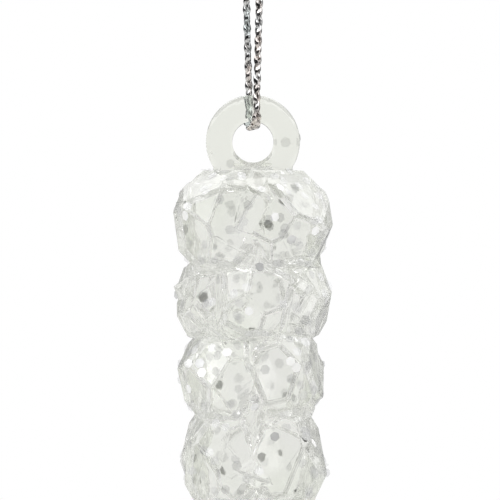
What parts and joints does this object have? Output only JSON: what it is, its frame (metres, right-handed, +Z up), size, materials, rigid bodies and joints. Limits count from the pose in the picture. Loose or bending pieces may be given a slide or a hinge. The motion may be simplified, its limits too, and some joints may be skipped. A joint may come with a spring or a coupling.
{
  "type": "icicle hanging ornament",
  "caption": "Clear hollow icicle of stacked faceted ice chunks, welded from two shells with half an eyelet each, coated in hexagonal glitter and hung on a knotted loop of braided silver cord.",
  "frame": {"origin": "inside top of the cord's hanging loop, where a hook bears", "axes": "+Z up along the hanging loop and the icicle, +Y along the eyelet's hole from front to back, +X to the right seen from the front"},
  "size_m": [0.0168, 0.0174, 0.2012],
  "materials": {
    "clear_plastic": "clear moulded polystyrene wall of 1 mm with a thin clear glue film, glossy",
    "silver_cord": "round braid of fine silver metallic yarn, sparkling",
    "pearl_glitter": "hexagonal polyester glitter, pearly and partly see-through"
  },
  "bodies": {
    "loop_crown": {"cord_knot": "silver_cord", "cord_tail_left": "silver_cord", "cord_tail_right": "silver_cord", "cord_crown_left": "silver_cord", "cord_crown_right": "silver_cord"},
    "cord_strands": {"cord_strand_left": "silver_cord", "cord_strand_right": "silver_cord"},
    "eyelet_cord": {"cord_bight": "silver_cord"},
    "icicle": {"icicle_front_shell": "clear_plastic", "icicle_back_shell": "clear_plastic", "glitter_flake_01": "pearl_glitter", "glitter_flake_02": "pearl_glitter", "glitter_flake_03": "pearl_glitter", "glitter_flake_04": "pearl_glitter", "glitter_flake_05": "pearl_glitter", "glitter_flake_06": "pearl_glitter", "glitter_flake_07": "pearl_glitter", "glitter_flake_08": "pearl_glitter", "glitter_flake_09": "pearl_glitter", "glitter_flake_10": "pearl_glitter", "glitter_flake_11": "pearl_glitter", "glitter_flake_12": "pearl_glitter", "glitter_flake_13": "pearl_glitter", "glitter_flake_14": "pearl_glitter", "glitter_flake_15": "pearl_glitter", "glitter_flake_16": "pearl_glitter", "glitter_flake_17": "pearl_glitter", "glitter_flake_18": "pearl_glitter", "glitter_flake_19": "pearl_glitter", "glitter_flake_20": "pearl_glitter", "glitter_flake_21": "pearl_glitter", "glitter_flake_22": "pearl_glitter", "glitter_flake_23": "pearl_glitter", "glitter_flake_24": "pearl_glitter", "glitter_flake_25": "pearl_glitter", "glitter_flake_26": "pearl_glitter", "glitter_flake_27": "pearl_glitter", "glitter_flake_28": "pearl_glitter", "glitter_flake_29": "pearl_glitter", "glitter_flake_30": "pearl_glitter", "glitter_flake_31": "pearl_glitter", "glitter_flake_32": "pearl_glitter", "glitter_flake_33": "pearl_glitter", "glitter_flake_34": "pearl_glitter", "glitter_flake_35": "pearl_glitter", "glitter_flake_36": "pearl_glitter", "glitter_flake_37": "pearl_glitter", "glitter_flake_38": "pearl_glitter", "glitter_flake_39": "pearl_glitter", "glitter_flake_40": "pearl_glitter", "glitter_flake_41": "pearl_glitter", "glitter_flake_42": "pearl_glitter", "glitter_flake_43": "pearl_glitter", "glitter_flake_44": "pearl_glitter", "glitter_flake_45": "pearl_glitter", "glitter_flake_46": "pearl_glitter", "glitter_flake_47": "pearl_glitter", "glitter_flake_48": "pearl_glitter"}
  },
  "joints": [
    {"name": "fore_aft_swing", "type": "hinge", "parent": "loop_crown", "child": "cord_strands", "pos_m": [0, 0, -0.004], "axis": [1, 0, 0], "range_deg": [-60, 60]},
    {"name": "cord_twist", "type": "hinge", "parent": "cord_strands", "child": "eyelet_cord", "pos_m": [0, 0, -0.033], "axis": [0, 0, 1], "range_deg": [-180, 180]},
    {"name": "side_swing", "type": "hinge", "parent": "eyelet_cord", "child": "icicle", "pos_m": [0, 0, -0.0529], "axis": [0, 1, 0], "range_deg": [-90, 90]}
  ]
}
